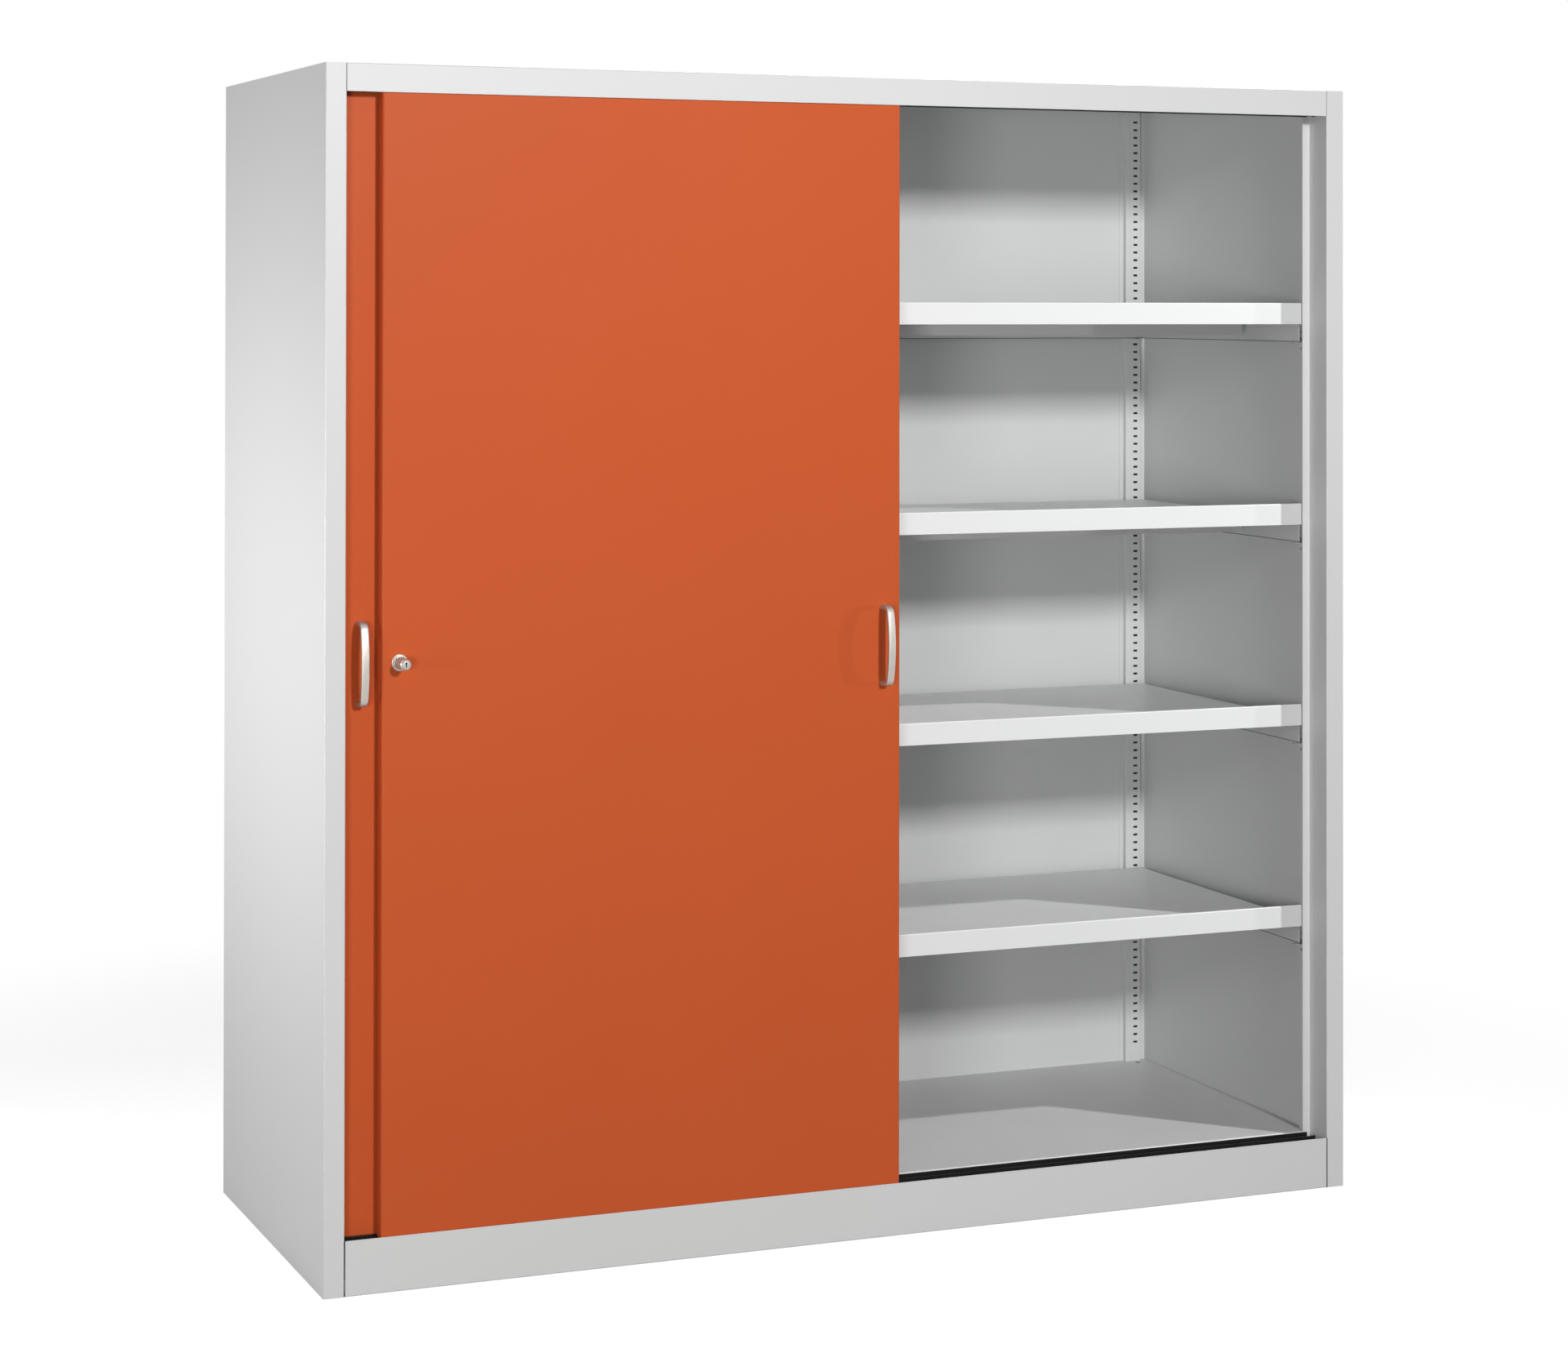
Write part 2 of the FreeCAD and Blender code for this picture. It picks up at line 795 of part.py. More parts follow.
# Bow handle: a flat rounded bar swept along two feet, two corners and a bowed grip
def handle(left, face):
    x = handle_place(left)
    half = handle_spacing / 2
    slope = math.atan(2 * handle_bulge / (half - handle_corner))
    corner_turn = math.pi / 2 - slope
    reach = handle_projection - handle_bulge
    bend_start = reach - handle_corner
    bend_end_z = half - handle_corner * (1 - math.cos(corner_turn))
    bend_end_y = bend_start + handle_corner * math.sin(corner_turn)
    half_turn = corner_turn / 2
    bend_middle_z = half - handle_corner * (1 - math.cos(half_turn))
    bend_middle_y = bend_start + handle_corner * math.sin(half_turn)
    grip_radius = bend_end_z / math.sin(slope)
    crown = bend_end_y + grip_radius * (1 - math.cos(slope))

    def at(out, up):
        return FreeCAD.Vector(x, face - out, handle_height + up)

    path = Part.Wire([
        Part.LineSegment(at(0, -half), at(bend_start, -half)).toShape(),
        Part.Arc(at(bend_start, -half), at(bend_middle_y, -bend_middle_z),
                 at(bend_end_y, -bend_end_z)).toShape(),
        Part.Arc(at(bend_end_y, -bend_end_z), at(crown, 0), at(bend_end_y, bend_end_z)).toShape(),
        Part.Arc(at(bend_end_y, bend_end_z), at(bend_middle_y, bend_middle_z),
                 at(bend_start, half)).toShape(),
        Part.LineSegment(at(bend_start, half), at(0, half)).toShape(),
    ])
    side = handle_width / 2
    deep = handle_depth / 2
    low = -half - deep
    high = -half + deep
    outline = [
        (-side, low + handle_bevel),
        (-side + handle_bevel, low),
        (side - handle_bevel, low),
        (side, low + handle_bevel),
        (side, high - handle_bevel),
        (side - handle_bevel, high),
        (-side + handle_bevel, high),
        (-side, high - handle_bevel),
        (-side, low + handle_bevel),
    ]
    corners = [FreeCAD.Vector(x + across, face, handle_height + up) for across, up in outline]
    section = Part.makePolygon(corners)
    bar = path.makePipeShell([section], True, False)
    pieces = []
    for z in (-half, half):
        boss = Part.makeCylinder(handle_boss_radius, handle_boss_length, at(0, z), FreeCAD.Vector(0, -1, 0))
        pieces.append(boss)
    grip = bar.fuse(pieces).removeSplitter()
    holes = []
    for screw_x, z in screw_places(left):
        holes.append(Part.makeCylinder(screw_radius + screw_gap, screw_depth,
                                       FreeCAD.Vector(screw_x, face, z), FreeCAD.Vector(0, -1, 0)))
    return grip.cut(holes)


# Screws through the door skin into the feet of the handle
def handle_screws(left, face):
    screws = []
    skin = face + sheet
    for x, z in screw_places(left):
        profile = [
            (0, face - screw_depth + screw_gap),
            (screw_radius, face - screw_depth + screw_gap),
            (screw_radius, skin),
            (screw_head_radius, skin),
            (screw_head_radius, skin + screw_head_height),
            (0, skin + screw_head_height),
        ]
        screws.append(turned(profile, x, z))
    return together(screws)


lock_x = outer_left + lock_inset
lock_bore = barrel_radius + lock_fit


# Rosette and sleeve of the lock, through the door skin
def lock_housing():
    step_face = outer_front - lock_flange_height
    profile = [
        (lock_bore, step_face - lock_step_height),
        (lock_step_radius - lock_flange_height / 2, step_face - lock_step_height),
        (lock_step_radius, step_face - lock_step_height / 2),
        (lock_step_radius, step_face),
        (lock_flange_radius - lock_flange_height / 2, step_face),
        (lock_flange_radius, outer_front - lock_flange_height / 2),
        (lock_flange_radius, outer_front),
        (lock_body_radius, outer_front),
        (lock_body_radius, outer_front + lock_body_length),
        (lock_bore, outer_front + lock_body_length),
    ]
    return turned(profile, lock_x, lock_height)


def lock_nut():
    centre = FreeCAD.Vector(lock_x, outer_front + sheet, lock_height)
    return hexagon(centre, lock_nut_across, lock_nut_height, lock_body_radius + lock_fit)


# Push barrel with a bevelled nose and a bore for the key core
def lock_barrel():
    nose = outer_front - barrel_projection
    profile = [
        (core_radius + lock_fit, nose),
        (barrel_radius - barrel_chamfer, nose),
        (barrel_radius, nose + barrel_chamfer),
        (barrel_radius, outer_front + barrel_inside),
        (0, outer_front + barrel_inside),
        (0, outer_front + barrel_inside - barrel_floor),
        (core_radius + lock_fit, outer_front + barrel_inside - barrel_floor),
    ]
    return turned(profile, lock_x, lock_height)


# Key core that turns in the barrel, with an upright keyhole
def lock_core():
    nose = outer_front - barrel_projection
    end = outer_front + barrel_inside - barrel_floor - lock_fit
    profile = [
        (0, nose - core_head),
        (core_radius - core_head, nose - core_head),
        (core_radius, nose),
        (core_radius, end),
        (0, end),
    ]
    core = turned(profile, lock_x, lock_height)
    half = key_slot_width / 2
    deep = nose + key_slot_depth
    slit = box(lock_x - half, lock_x + half, nose - overrun, deep,
               lock_height - key_slot_height / 2, lock_height + key_slot_height / 2)
    centre = FreeCAD.Vector(lock_x, nose - overrun, lock_height + key_slot_height / 2 - key_bow_radius)
    bow = Part.makeCylinder(key_bow_radius, key_slot_depth + overrun, centre, FreeCAD.Vector(0, 1, 0))
    return core.cut(slit.fuse(bow))


# Bolt on the back of the barrel, clear inside the door until the barrel is pushed
def lock_pin():
    start = outer_front + barrel_inside
    tip = outer_back + pin_reach - lock_travel
    profile = [
        (0, start),
        (pin_radius, start),
        (pin_radius, tip - pin_bevel),
        (pin_radius - pin_bevel, tip),
        (0, tip),
    ]
    return turned(profile, lock_x, lock_height)


# Stop on the right edge of the inner door that the bolt closes against
def lock_catch():
    right = inner_right - catch_edge_gap
    left = right - catch_width
    low = lock_height - catch_height / 2
    high = low + catch_height
    crest = inner_front - pin_reach
    plate = prism([(left, low), (right, low), (right, high), (left, high)], [catch_bevel] * 4,
                  on_front(inner_front), along_y(-pin_reach))
    tilt = prism([(left, crest), (left + pin_reach, crest), (left, inner_front)], [0, 0, 0],
                 on_plan(low - overrun), along_z(catch_height + 2 * overrun))
    return plate.cut(moved(tilt, x=-catch_bevel))


roller_centre = roller_floor + roller_gap + roller_radius


# Nylon wheel: a narrow tread on a wider hub
def roller(x, face):
    middle = face + door_thickness / 2
    hub = roller_width / 2
    tread = hub - roller_dish
    bore = axle_radius + axle_fit
    profile = [
        (bore, middle - hub),
        (roller_hub_radius, middle - hub),
        (roller_hub_radius, middle - tread),
        (roller_radius, middle - tread),
        (roller_radius, middle + tread),
        (roller_hub_radius, middle + tread),
        (roller_hub_radius, middle + hub),
        (bore, middle + hub),
    ]
    return turned(profile, x, roller_centre)


# Steel forks over the rollers, standing on the bottom return of the door
def roller_brackets(left, face):
    forks = []
    middle = face + door_thickness / 2
    inside = roller_width / 2 + cheek_gap
    foot = door_bottom + sheet
    crown = foot + cheek_height
    for x in roller_places(left):
        outer_side = inside + cheek_gauge
        line = [
            (middle - outer_side, foot),
            (middle - outer_side, crown),
            (middle + outer_side, crown),
            (middle + outer_side, foot),
        ]
        start = x - cheek_length / 2
        fork = folded(line, -1, on_side(start), along_x(cheek_length), None, cheek_gauge)
        for side in (-1, 1):
            end = x + side * cheek_length / 2
            corner = [(end, crown), (end, crown - cheek_chamfer), (end - side * cheek_chamfer, crown)]
            fork = fork.cut(prism(corner, [0, 0, 0], on_front(face), along_y(door_thickness)))
        hole = Part.makeCylinder(axle_radius + axle_fit, door_thickness,
                                 FreeCAD.Vector(x, face, roller_centre), FreeCAD.Vector(0, 1, 0))
        forks.append(fork.cut(hole))
    return together(forks)


def roller_axles(left, face):
    axles = []
    middle = face + door_thickness / 2
    cheek = roller_width / 2 + cheek_gap + cheek_gauge
    for x in roller_places(left):
        profile = [
            (0, middle - cheek - axle_head),
            (axle_head_radius, middle - cheek - axle_head),
            (axle_head_radius, middle - cheek),
            (axle_radius, middle - cheek),
            (axle_radius, middle + cheek + axle_head),
            (0, middle + cheek + axle_head),
        ]
        axles.append(turned(profile, x, roller_centre))
    return together(axles)


# Sliding shoes on top of a door, in the channel of the guide
def guide_shoes(left, face):
    shoes = []
    near = face - running_gap + shoe_side_gap
    far = face + door_thickness + running_gap - shoe_side_gap
    for x in roller_places(left):
        half = shoe_length / 2
        points = [
            (x - half, near + shoe_nose),
            (x - half + shoe_nose, near),
            (x + half - shoe_nose, near),
            (x + half, near + shoe_nose),
            (x + half, far - shoe_nose),
            (x + half - shoe_nose, far),
            (x - half + shoe_nose, far),
            (x - half, far - shoe_nose),
        ]
        shoes.append(prism(points, [0] * len(points), on_plan(door_top), along_z(shoe_height)))
    return together(shoes)


def all_parts():
    parts = {}
    right_pairs = {
        "side_panel": side_panel(),
        "side_liner": side_liner(),
        "back_panel": back_panel(),
        "inner_rear_post": mirrored(rear_post(slots_near_shelves()), bay_middle),
        "front_posts": together([front_post(), mirrored(front_post(), bay_middle)]),
        "shelf_clips": shelf_clips(),
        "shelf_braces": together([shelf_brace(index) for index in shelf_slots]),
    }
    for number, index in enumerate(shelf_slots, 1):
        right_pairs[f"shelf_{number}"] = shelf(index)
    for name, shape in right_pairs.items():
        parts["right_" + name] = shape
        parts["left_" + name] = mirrored(shape)
    parts["right_outer_rear_post"] = rear_post(range(slot_count))
    parts["left_outer_rear_post"] = mirrored(rear_post(slots_near_shelves()))
    parts["top_panel"] = top_panel()
    parts["guide_carrier"] = guide_carrier()
    parts["bottom_panel"] = bottom_panel()
    parts["plinth_front"] = plinth_front()
    parts["base_rear_rail"] = base_rear_rail()
    parts["base_centre_rail"] = base_centre_rail()
    parts["centre_partition"] = centre_partition()
    parts["bottom_track"] = door_track(trough_top, 1, track_fin_height)
    parts["top_guide"] = door_track(carrier_face, -1, guide_fin_height)
    parts["jamb_buffers"] = jamb_buffers()
    parts["foot_brackets"] = foot_brackets()
    parts["levelling_feet"] = levelling_feet()
    parts["outer_door_panel"] = outer_door_panel()
    parts["inner_door_panel"] = door_panel(inner_left, inner_front)
    for side, left, face in (("outer", outer_left, outer_front), ("inner", inner_left, inner_front)):
        parts[side + "_door_stiffeners"] = door_stiffeners(left, face)
        parts[side + "_handle"] = handle(left, face)
        parts[side + "_handle_screws"] = handle_screws(left, face)
        parts[side + "_roller_brackets"] = roller_brackets(left, face)
        parts[side + "_roller_axles"] = roller_axles(left, face)
        parts[side + "_guide_shoes"] = guide_shoes(left, face)
        for end, x in zip(("left", "right"), roller_places(left)):
            parts[f"{side}_roller_{end}"] = roller(x, face)
    parts["lock_housing"] = lock_housing()
    parts["lock_nut"] = lock_nut()
    parts["lock_barrel"] = lock_barrel()
    parts["lock_core"] = lock_core()
    parts["lock_pin"] = lock_pin()
    parts["lock_catch"] = lock_catch()
    return parts


os.makedirs("parts", exist_ok=True)
for node, shape in all_parts().items():
    shape.exportStep(f"parts/{node}.step")
print(f"outer door travel {outer_travel:.1f} mm, door gap {door_gap:.2f} mm")
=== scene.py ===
import math
import bmesh
import bpy
from mathutils import Matrix, Vector


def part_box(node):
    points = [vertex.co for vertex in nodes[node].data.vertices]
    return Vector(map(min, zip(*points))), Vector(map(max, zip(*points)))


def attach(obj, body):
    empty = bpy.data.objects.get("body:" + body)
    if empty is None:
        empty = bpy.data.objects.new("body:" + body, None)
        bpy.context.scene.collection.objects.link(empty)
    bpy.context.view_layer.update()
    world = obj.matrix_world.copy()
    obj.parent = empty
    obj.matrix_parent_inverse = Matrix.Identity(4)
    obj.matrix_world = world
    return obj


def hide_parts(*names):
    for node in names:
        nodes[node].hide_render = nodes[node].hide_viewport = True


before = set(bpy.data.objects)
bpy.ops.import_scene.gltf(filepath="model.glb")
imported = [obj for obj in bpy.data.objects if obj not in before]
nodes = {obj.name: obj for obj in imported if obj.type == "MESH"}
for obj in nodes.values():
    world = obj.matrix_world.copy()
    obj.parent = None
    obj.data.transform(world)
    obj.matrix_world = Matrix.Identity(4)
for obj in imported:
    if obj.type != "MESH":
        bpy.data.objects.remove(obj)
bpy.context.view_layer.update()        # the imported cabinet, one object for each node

print("cabinet frame loaded,", len(nodes), "nodes")


# node tools
def newGroup(name, inputs, outputs):
    group = bpy.data.node_groups.new(name, "ShaderNodeTree")
    kinds = {"value": "NodeSocketFloat", "colour": "NodeSocketColor", "vector": "NodeSocketVector"}
    for label, kind, start in inputs:
        socket = group.interface.new_socket(name=label, in_out="INPUT", socket_type=kinds[kind])
        socket.default_value = start
    for label, kind in outputs:
        group.interface.new_socket(name=label, in_out="OUTPUT", socket_type=kinds[kind])
    start, end = group.nodes.new("NodeGroupInput"), group.nodes.new("NodeGroupOutput")
    return group, start.outputs, end.inputs


def addNode(tree, kind, links=None, **settings):
    # each entry of links is another node's socket to link from, or a plain value
    node = tree.nodes.new(kind)
    for key, value in settings.items():
        setattr(node, key, value)
    for key, value in (links or {}).items():
        if isinstance(value, bpy.types.NodeSocket):
            tree.links.new(value, node.inputs[key])
        else:
            node.inputs[key].default_value = value
    return node


def mathNode(tree, operation, first, second=0.0, clamp=False):
    links = {0: first, 1: second}
    return addNode(tree, "ShaderNodeMath", links, operation=operation, use_clamp=clamp).outputs[0]


def product(tree, first, *others):
    for other in others:
        first = mathNode(tree, "MULTIPLY", first, other)
    return first


def fade(tree, value, start, end):
    # 0 at start, 1 at end, with soft ends
    links = {"Value": value, "From Min": start, "From Max": end}
    return addNode(tree, "ShaderNodeMapRange", links, interpolation_type="SMOOTHSTEP").outputs[0]


def fadeOut(tree, value, start, end):
    return mathNode(tree, "SUBTRACT", 1.0, fade(tree, value, start, end))


def mixColours(tree, factor, first, second):
    return addNode(tree, "ShaderNodeMix", {0: factor, 6: first, 7: second}, data_type="RGBA").outputs[2]


def noise(tree, place, scale, detail, roughness=0.5, distortion=0.0):
    links = {"Vector": place, "Scale": scale, "Detail": detail, "Roughness": roughness}
    links["Distortion"] = distortion
    return addNode(tree, "ShaderNodeTexNoise", links).outputs[0]


def objectPlace(tree):
    return addNode(tree, "ShaderNodeTexCoord").outputs["Object"]


def axesOf(tree, vector):
    return addNode(tree, "ShaderNodeSeparateXYZ", {0: vector}).outputs


# shared effects
coat = {
    "peelDetail": 1.5, "peelRoughness": 0.4, "cloudScale": 2.6, "cloudDetail": 3.0, "cloudRoughness": 0.55,
    "grainScale": 1500.0, "speckStart": 0.78, "speckFull": 0.86, "speckLift": 0.05, "glossSwing": 1.6,
}


def makePowderCoat():
    # stoved powder paint: orange peel, slow mottling and a few pale specks
    group, start, end = newGroup(
        "powderCoat",
        [("Paint", "colour", (0.7, 0.7, 0.7, 1)), ("Mottle", "value", 0.04), ("Peel Scale", "value", 420.0),
         ("Gloss", "value", 0.36)],
        [("Colour", "colour"), ("Roughness", "value"), ("Peel", "value")])
    place = objectPlace(group)
    peel = noise(group, place, start["Peel Scale"], coat["peelDetail"], coat["peelRoughness"])
    cloud = noise(group, place, coat["cloudScale"], coat["cloudDetail"], coat["cloudRoughness"])
    grain = noise(group, place, coat["grainScale"], 0.0)
    swing = product(group, mathNode(group, "SUBTRACT", cloud, 0.5), start["Mottle"])
    speck = product(group, fade(group, grain, coat["speckStart"], coat["speckFull"]), coat["speckLift"])
    shade = mathNode(group, "ADD", mathNode(group, "ADD", 1.0, swing), speck)
    scaled = addNode(group, "ShaderNodeVectorMath", {0: start["Paint"], "Scale": shade}, operation="SCALE")
    rough = mathNode(group, "ADD", start["Gloss"], product(group, swing, coat["glossSwing"]))
    group.links.new(scaled.outputs[0], end["Colour"])
    group.links.new(rough, end["Roughness"])
    group.links.new(peel, end["Peel"])
    return group


wear = {"patchScale": 38.0, "patchDetail": 5.0, "patchRoughness": 0.7, "patchStart": 0.42, "patchFull": 0.62}


def makeFoldWear():
    # paint drawn thin along an upright fold at the given x and y, the same on both sides of the cabinet
    group, start, end = newGroup(
        "foldWear",
        [("Fold X", "value", 0.95), ("Fold Y", "value", -0.3), ("Width", "value", 0.003)],
        [("Mask", "value")])
    place = objectPlace(group)
    axes = axesOf(group, place)
    across = mathNode(group, "SUBTRACT", mathNode(group, "ABSOLUTE", axes[0]), start["Fold X"])
    along = mathNode(group, "SUBTRACT", axes[1], start["Fold Y"])
    squares = mathNode(group, "ADD", product(group, across, across), product(group, along, along))
    near = fadeOut(group, mathNode(group, "SQRT", squares), 0.0, start["Width"])
    patchy = noise(group, place, wear["patchScale"], wear["patchDetail"], wear["patchRoughness"])
    worn = fade(group, patchy, wear["patchStart"], wear["patchFull"])
    group.links.new(product(group, near, worn), end["Mask"])
    return group


def makeButtSeamShade():
    # painted shade: a near-black line standing in for the shadow in the slit where the fascia and the plinth
    # butt against the stiles, on the front face only
    slitStart, slitEnd = 0.6, 1.3
    group, start, end = newGroup(
        "buttSeamShade",
        [("Seam X", "value", 0.915), ("Front Y", "value", -0.299), ("Low Top", "value", 0.08),
         ("High Foot", "value", 1.9), ("High Share", "value", 0.4), ("Width", "value", 0.001)],
        [("Mask", "value")])
    axes = axesOf(group, objectPlace(group))
    aside = mathNode(group, "SUBTRACT", mathNode(group, "ABSOLUTE", axes[0]), start["Seam X"])
    reach = mathNode(group, "DIVIDE", mathNode(group, "ABSOLUTE", aside), start["Width"])
    low = mathNode(group, "LESS_THAN", axes[2], start["Low Top"])
    high = product(group, mathNode(group, "GREATER_THAN", axes[2], start["High Foot"]), start["High Share"])
    ahead = mathNode(group, "LESS_THAN", axes[1], start["Front Y"])
    band = product(group, mathNode(group, "MAXIMUM", low, high), ahead)
    group.links.new(product(group, fadeOut(group, reach, slitStart, slitEnd), band), end["Mask"])
    return group


def makeHollowShade():
    # painted shade on the sheet inside a hollow post, where no light reaches, between upright planes both
    # ways, mirrored to the left side
    group, start, end = newGroup(
        "hollowShade",
        [(edge, "value", 0.0) for edge in ("Low X", "High X", "Low Y", "High Y")],
        [("Mask", "value")])
    axes = axesOf(group, objectPlace(group))
    aside = mathNode(group, "ABSOLUTE", axes[0])
    mask = product(group,
                   mathNode(group, "GREATER_THAN", aside, start["Low X"]),
                   mathNode(group, "LESS_THAN", aside, start["High X"]),
                   mathNode(group, "GREATER_THAN", axes[1], start["Low Y"]),
                   mathNode(group, "LESS_THAN", axes[1], start["High Y"]))
    group.links.new(mask, end["Mask"])
    return group


def makeSkirtGapShade():
    # painted shade: a thin dark line along the foot of every shelf skirt, standing in for the shadow in the
    # gap to the wall behind
    margin = 0.0005
    group, start, end = newGroup(
        "skirtGapShade",
        [("Foot", "value", 0.422), ("Pitch", "value", 0.36), ("Height", "value", 0.0018)],
        [("Mask", "value")])
    axes = axesOf(group, objectPlace(group))
    above = mathNode(group, "ADD", mathNode(group, "SUBTRACT", axes[2], start["Foot"]), margin)
    over = mathNode(group, "FLOORED_MODULO", above, start["Pitch"])
    group.links.new(mathNode(group, "LESS_THAN", over, start["Height"]), end["Mask"])
    return group


dustFilm = {
    "driftScale": 9.0, "driftDetail": 6.0, "driftRoughness": 0.65, "driftStart": 0.3, "driftFull": 0.75,
    "levelStart": 0.7, "levelFull": 0.98,
}


def makeSettledDust():
    # a thin film that gathers on level faces and just above the floor
    group, start, end = newGroup(
        "settledDust",
        [("Amount", "value", 0.1), ("Floor Height", "value", 0.03)],
        [("Mask", "value")])
    place = objectPlace(group)
    facing = axesOf(group, addNode(group, "ShaderNodeNewGeometry").outputs["Normal"])
    level = fade(group, facing[2], dustFilm["levelStart"], dustFilm["levelFull"])
    low = fadeOut(group, axesOf(group, place)[2], 0.0, start["Floor Height"])
    drift = noise(group, place, dustFilm["driftScale"], dustFilm["driftDetail"], dustFilm["driftRoughness"])
    film = product(group, mathNode(group, "MAXIMUM", level, low),
                   fade(group, drift, dustFilm["driftStart"], dustFilm["driftFull"]))
    group.links.new(mathNode(group, "MULTIPLY", film, start["Amount"], True), end["Mask"])
    return group


smudge = {
    "printScale": 46.0, "printDetail": 3.0, "printRoughness": 0.5, "printDistortion": 1.2,
    "printStart": 0.45, "printFull": 0.65,
}


def makeHandSmudge():
    # faint finger grease around a handle or lock
    group, start, end = newGroup(
        "handSmudge",
        [("Centre", "vector", (0, 0, 1)), ("Reach", "value", 0.1)],
        [("Mask", "value")])
    place = objectPlace(group)
    away = addNode(group, "ShaderNodeVectorMath", {0: place, 1: start["Centre"]}, operation="DISTANCE")
    prints = noise(group, place, smudge["printScale"], smudge["printDetail"], smudge["printRoughness"],
                   smudge["printDistortion"])
    near = fadeOut(group, away.outputs["Value"], 0.0, start["Reach"])
    greasy = fade(group, prints, smudge["printStart"], smudge["printFull"])
    group.links.new(product(group, near, greasy), end["Mask"])
    return group


def makeDrawnGrain():
    # fine lines left by drawing, brushing or rolling, along the direction with the small number
    detail, roughness = 3.0, 0.6
    group, start, end = newGroup(
        "drawnGrain",
        [("Stretch", "vector", (900, 900, 12)), ("Base Roughness", "value", 0.3), ("Swing", "value", 0.2)],
        [("Line", "value"), ("Roughness", "value")])
    links = {0: objectPlace(group), 1: start["Stretch"]}
    drawn = addNode(group, "ShaderNodeVectorMath", links, operation="MULTIPLY").outputs[0]
    lines = noise(group, drawn, 1.0, detail, roughness)
    swing = product(group, mathNode(group, "SUBTRACT", lines, 0.5), start["Swing"])
    group.links.new(lines, end["Line"])
    group.links.new(mathNode(group, "ADD", start["Base Roughness"], swing), end["Roughness"])
    return group


powderCoat = makePowderCoat()
foldWear = makeFoldWear()
buttSeamShade = makeButtSeamShade()
hollowShade = makeHollowShade()
skirtGapShade = makeSkirtGapShade()
settledDust = makeSettledDust()
handSmudge = makeHandSmudge()
drawnGrain = makeDrawnGrain()


# materials
def newMaterial(name, metallic=0.0, specular=0.5):
    material = bpy.data.materials.new(name)
    material.use_nodes = True
    tree = material.node_tree
    shader = tree.nodes["Principled BSDF"]
    shader.inputs["Metallic"].default_value = metallic
    shader.inputs["Specular IOR Level"].default_value = specular
    return material, tree, shader


def placeGroup(tree, group, values):
    return addNode(tree, "ShaderNodeGroup", values, node_tree=group).outputs


def bumpFrom(tree, shader, height, strength, distance):
    bump = addNode(tree, "ShaderNodeBump", {"Height": height, "Strength": strength, "Distance": distance})
    tree.links.new(bump.outputs[0], shader.inputs["Normal"])


sheet = {
    "paleGain": 1.25, "paleLift": 0.03, "wearShare": 0.3, "dustHeight": 0.04,
    "dustColour": (0.56, 0.54, 0.5, 1), "dustRoughness": 0.9, "smudgeGloss": 0.1,
    "shadeColour": (0.05, 0.05, 0.05, 1), "peelStrength": 0.16, "peelDepth": 0.0004,
}
# the shelf, floor and inside paints are darker copies of the grey: painted shade for where less light falls
paints = {
    "grey": {"colour": (0.7, 0.708, 0.702), "gloss": 0.38, "mottle": 0.04, "dust": 0.1, "specular": 0.3},
    "shelf": {"colour": (0.65, 0.655, 0.655), "gloss": 0.3, "mottle": 0.03, "dust": 0.06, "specular": 0.3},
    "floor": {"colour": (0.565, 0.57, 0.57), "gloss": 0.3, "mottle": 0.03, "dust": 0.1, "specular": 0.3},
    "inside": {"colour": (0.682, 0.69, 0.688), "gloss": 0.34, "mottle": 0.05, "dust": 0.06, "specular": 0.3},
    "door": {"colour": (0.592, 0.105, 0.03), "gloss": 0.42, "mottle": 0.06, "dust": 0.05, "specular": 0.09},
}


def paintedSheet(name, paint, folds=(), smudges=(), paintedShades=()):
    # powder coated steel: the coat, thin paint on its folds, dust, finger marks and painted shade in slits,
    # gaps and hollows
    material, tree, shader = newMaterial(name, specular=paint["specular"])
    values = {"Paint": (*paint["colour"], 1), "Mottle": paint["mottle"], "Gloss": paint["gloss"]}
    surface = placeGroup(tree, powderCoat, values)
    colour = surface["Colour"]
    rough = surface["Roughness"]
    pale = [min(1.0, sheet["paleGain"] * channel + sheet["paleLift"]) for channel in paint["colour"]]
    for foldX, foldY, width in folds:
        worn = placeGroup(tree, foldWear, {"Fold X": foldX, "Fold Y": foldY, "Width": width})["Mask"]
        colour = mixColours(tree, product(tree, worn, sheet["wearShare"]), colour, (*pale, 1))
    values = {"Amount": paint["dust"], "Floor Height": sheet["dustHeight"]}
    film = placeGroup(tree, settledDust, values)["Mask"]
    colour = mixColours(tree, film, colour, sheet["dustColour"])
    rough = mathNode(tree, "ADD", rough, product(tree, film, sheet["dustRoughness"]))
    for centre, reach in smudges:
        mark = placeGroup(tree, handSmudge, {"Centre": centre, "Reach": reach})["Mask"]
        rough = mathNode(tree, "SUBTRACT", rough, product(tree, mark, sheet["smudgeGloss"]), True)
    # painted shade: near-black mixed in where each mask says shade falls
    for group, places, share in paintedShades:
        shadeMask = placeGroup(tree, group, places)["Mask"]
        colour = mixColours(tree, product(tree, shadeMask, share), colour, sheet["shadeColour"])
    tree.links.new(colour, shader.inputs["Base Color"])
    tree.links.new(rough, shader.inputs["Roughness"])
    bumpFrom(tree, shader, surface["Peel"], sheet["peelStrength"], sheet["peelDepth"])
    return material


nickel = (0.52, 0.487, 0.448)
plating = {"darker": 0.86, "lineStart": 0.3, "lineFull": 0.7, "grainStrength": 0.08, "grainDepth": 0.0002}
metals = {
    "satinNickel": {"colour": nickel, "tint": nickel, "metallic": 0.65, "roughness": 0.42, "swing": 0.14,
                    "stretch": (1400, 1400, 30)},
    "turnedNickel": {"colour": nickel, "tint": nickel, "metallic": 0.65, "roughness": 0.38, "swing": 0.12,
                     "stretch": (300, 2600, 300)},
    "brightZinc": {"colour": (0.62, 0.63, 0.64), "tint": (0.62, 0.61, 0.55), "metallic": 1.0,
                   "roughness": 0.32, "swing": 0.2, "stretch": (240, 240, 60)},
}


